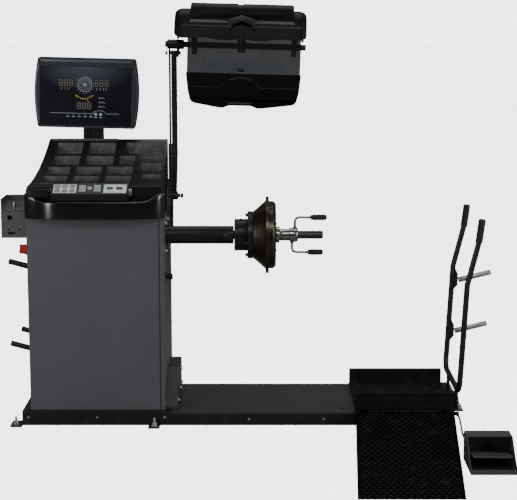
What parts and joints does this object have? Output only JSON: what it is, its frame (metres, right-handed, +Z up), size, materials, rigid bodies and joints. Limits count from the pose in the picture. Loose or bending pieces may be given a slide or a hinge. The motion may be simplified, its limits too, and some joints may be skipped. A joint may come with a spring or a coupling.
{
  "type": "truck wheel balancer",
  "caption": "Truck wheel balancing machine with weight tray and display, horizontal spindle, swinging wheel guard, lifting trolley on a rail with ramp, and foot pedal.",
  "frame": {"origin": "on the floor under the spindle's axis, in the middle of the base frame's length", "axes": "+X along the spindle, from the cabinet towards the wheel; +Y away from the operator; +Z up"},
  "size_m": [2.0893, 1.4893, 1.7329],
  "materials": {
    "black_coat": "semi-gloss black powder coat",
    "grey_coat": "dark grey fine-textured powder coat",
    "light_coat": "light grey coated sheet",
    "black_moulding": "satin moulded black plastic",
    "gloss_moulding": "high-gloss black plastic",
    "slate_moulding": "slate blue-grey satin plastic",
    "screen_glass": "dark navy glossy overlay",
    "key_grey": "light grey satin key",
    "key_green": "green satin key",
    "key_red": "dark red satin key",
    "switch_orange": "orange satin plate",
    "switch_red": "red satin knob",
    "bright_steel": "ground and oiled steel",
    "chrome_plate": "polished chrome plate",
    "dark_steel": "blackened, oiled machined steel",
    "zinc_plate": "bright zinc plate",
    "black_rubber": "matt black rubber",
    "smoked_window": "smoked clear plastic"
  },
  "bodies": {
    "base": {"base_frame": "black_coat", "rail_cover": "black_coat", "rail_gusset": "light_coat", "cabinet_shell": "grey_coat", "rear_cover": "grey_coat", "weight_tray": "black_moulding", "front_fascia": "gloss_moulding", "keypad_housing": "black_moulding", "display_mast": "black_coat", "tool_holder_box": "black_coat", "switch_plate": "switch_orange", "peg_rail_front": "black_coat", "peg_rail_rear": "black_coat", "spindle_housing": "black_coat", "bearing_inner": "bright_steel", "bearing_outer": "bright_steel", "drive_motor": "grey_coat", "drive_belt": "black_rubber", "guard_bracket": "light_coat", "pedal_housing": "black_coat", "air_hose": "black_rubber"},
    "display": {"display_housing": "slate_moulding", "display_screen": "screen_glass"},
    "main_switch": {"switch_knob": "switch_red"},
    "key_left": {"key_bank_left": "key_grey"},
    "key_right": {"key_bank_right": "key_grey"},
    "key_round": {"key_select": "key_grey"},
    "key_go": {"key_start": "key_green"},
    "key_halt": {"key_stop": "key_red"},
    "spindle": {"main_shaft": "bright_steel", "mounting_flange": "black_coat", "centring_flange": "dark_steel", "spindle_pulley": "bright_steel"},
    "nut": {"pressure_sleeve": "chrome_plate", "quick_nut": "chrome_plate"},
    "grip_upper": {"crank_grip_upper": "black_rubber"},
    "grip_lower": {"crank_grip_lower": "black_rubber"},
    "motor_drive": {"motor_pulley": "bright_steel"},
    "guard_arm": {"guard_post": "black_coat"},
    "guard_tie": {"guard_tie_rod": "bright_steel"},
    "hood": {"guard_head": "black_coat", "guard_tube": "black_coat", "hood_top_shell": "black_moulding", "hood_window": "smoked_window", "hood_lower_shell": "black_moulding", "hood_clamp_left": "black_moulding", "hood_clamp_right": "black_moulding"},
    "trolley": {"trolley_base": "black_coat", "handle_frame": "black_coat", "handle_grip_front": "black_rubber", "handle_grip_rear": "black_rubber", "storage_peg_lower": "zinc_plate", "storage_peg_upper": "zinc_plate"},
    "lift_front_1": {"lift_arm_front_1": "bright_steel"},
    "lift_front_2": {"lift_arm_front_2": "bright_steel"},
    "lift_rear_1": {"lift_arm_rear_1": "bright_steel"},
    "lift_rear_2": {"lift_arm_rear_2": "bright_steel"},
    "cradle": {"lift_cradle": "black_coat"},
    "ramp_plate": {"ramp": "black_coat"},
    "pedal": {"pedal_treadle": "black_coat"}
  },
  "joints": [
    {"name": "display_swivel", "type": "hinge", "parent": "base", "child": "display", "pos_m": [-0.4275, 0.325, 1.196], "axis": [0, 0, 1], "range_deg": [-60, 60]},
    {"name": "main_switch_turn", "type": "hinge", "parent": "base", "child": "main_switch", "pos_m": [-0.6676, 0, 0.714], "axis": [1, 0, 0], "range_deg": [0, 90]},
    {"name": "key_left_press", "type": "slide", "parent": "base", "child": "key_left", "axis": [0, 0.5073, -0.8618], "range_m": [0, 0.0015], "stiffness_N_per_m": 600},
    {"name": "key_right_press", "type": "slide", "parent": "base", "child": "key_right", "axis": [0, 0.5073, -0.8618], "range_m": [0, 0.0015], "stiffness_N_per_m": 600},
    {"name": "key_round_press", "type": "slide", "parent": "base", "child": "key_round", "axis": [0, 0.5073, -0.8618], "range_m": [0, 0.0015], "stiffness_N_per_m": 600},
    {"name": "key_go_press", "type": "slide", "parent": "base", "child": "key_go", "axis": [0, 0.5073, -0.8618], "range_m": [0, 0.0015], "stiffness_N_per_m": 600},
    {"name": "key_halt_press", "type": "slide", "parent": "base", "child": "key_halt", "axis": [0, 0.5073, -0.8618], "range_m": [0, 0.0015], "stiffness_N_per_m": 600},
    {"name": "spindle_spin", "type": "hinge", "parent": "base", "child": "spindle", "pos_m": [0, 0, 0.775], "axis": [1, 0, 0], "continuous": true},
    {"name": "nut_slide", "type": "slide", "parent": "spindle", "child": "nut", "axis": [1, 0, 0], "range_m": [0, 0.085]},
    {"name": "grip_upper_spin", "type": "hinge", "parent": "nut", "child": "grip_upper", "pos_m": [0.509, 0, 0.8485], "axis": [1, 0, 0], "continuous": true},
    {"name": "grip_lower_spin", "type": "hinge", "parent": "nut", "child": "grip_lower", "pos_m": [0.496, 0, 0.7015], "axis": [1, 0, 0], "continuous": true},
    {"name": "motor_spin", "type": "hinge", "parent": "base", "child": "motor_drive", "pos_m": [0, 0, 0.42], "axis": [1, 0, 0], "continuous": true},
    {"name": "guard_swing", "type": "hinge", "parent": "base", "child": "guard_arm", "pos_m": [-0.063, 0.12, 0.925], "axis": [1, 0, 0], "range_deg": [0, 70]},
    {"name": "guard_tie_swing", "type": "hinge", "parent": "base", "child": "guard_tie", "pos_m": [-0.085, 0.18, 0.945], "axis": [1, 0, 0], "range_deg": [0, 70]},
    {"name": "guard_level", "type": "hinge", "parent": "guard_arm", "child": "hood", "pos_m": [-0.063, 0.12, 1.525], "axis": [1, 0, 0], "range_deg": [-70, 0]},
    {"name": "trolley_slide", "type": "slide", "parent": "base", "child": "trolley", "axis": [1, 0, 0], "range_m": [-0.6, 0]},
    {"name": "lift_front_1_swing", "type": "hinge", "parent": "trolley", "child": "lift_front_1", "pos_m": [0.74, -0.1588, 0.0843], "axis": [0, -1, 0], "range_deg": [0, 60]},
    {"name": "lift_front_2_swing", "type": "hinge", "parent": "trolley", "child": "lift_front_2", "pos_m": [0.8, -0.1488, 0.0843], "axis": [0, -1, 0], "range_deg": [0, 60]},
    {"name": "lift_rear_1_swing", "type": "hinge", "parent": "trolley", "child": "lift_rear_1", "pos_m": [0.74, 0.2618, 0.0843], "axis": [0, -1, 0], "range_deg": [0, 60]},
    {"name": "lift_rear_2_swing", "type": "hinge", "parent": "trolley", "child": "lift_rear_2", "pos_m": [0.8, 0.2718, 0.0843], "axis": [0, -1, 0], "range_deg": [0, 60]},
    {"name": "cradle_level", "type": "hinge", "parent": "lift_front_1", "child": "cradle", "pos_m": [1, 0, 0.0843], "axis": [0, -1, 0], "range_deg": [-60, 0]},
    {"name": "ramp_fold", "type": "hinge", "parent": "trolley", "child": "ramp_plate", "pos_m": [0.69, -0.1888, 0.0613], "axis": [-1, 0, 0], "range_deg": [0, 85]},
    {"name": "pedal_press", "type": "hinge", "parent": "base", "child": "pedal", "pos_m": [1.165, -0.647, 0.03], "axis": [1, 0, 0], "range_deg": [0, 9], "stiffness_Nm_per_rad": 6}
  ],
  "couplings": [
    {"joint": "motor_spin", "follows": "spindle_spin", "ratio": 2.5},
    {"joint": "guard_tie_swing", "follows": "guard_swing", "ratio": 1},
    {"joint": "guard_level", "follows": "guard_swing", "ratio": -1},
    {"joint": "lift_front_2_swing", "follows": "lift_front_1_swing", "ratio": 1},
    {"joint": "lift_rear_1_swing", "follows": "lift_front_1_swing", "ratio": 1},
    {"joint": "lift_rear_2_swing", "follows": "lift_front_1_swing", "ratio": 1},
    {"joint": "cradle_level", "follows": "lift_front_1_swing", "ratio": -1}
  ]
}
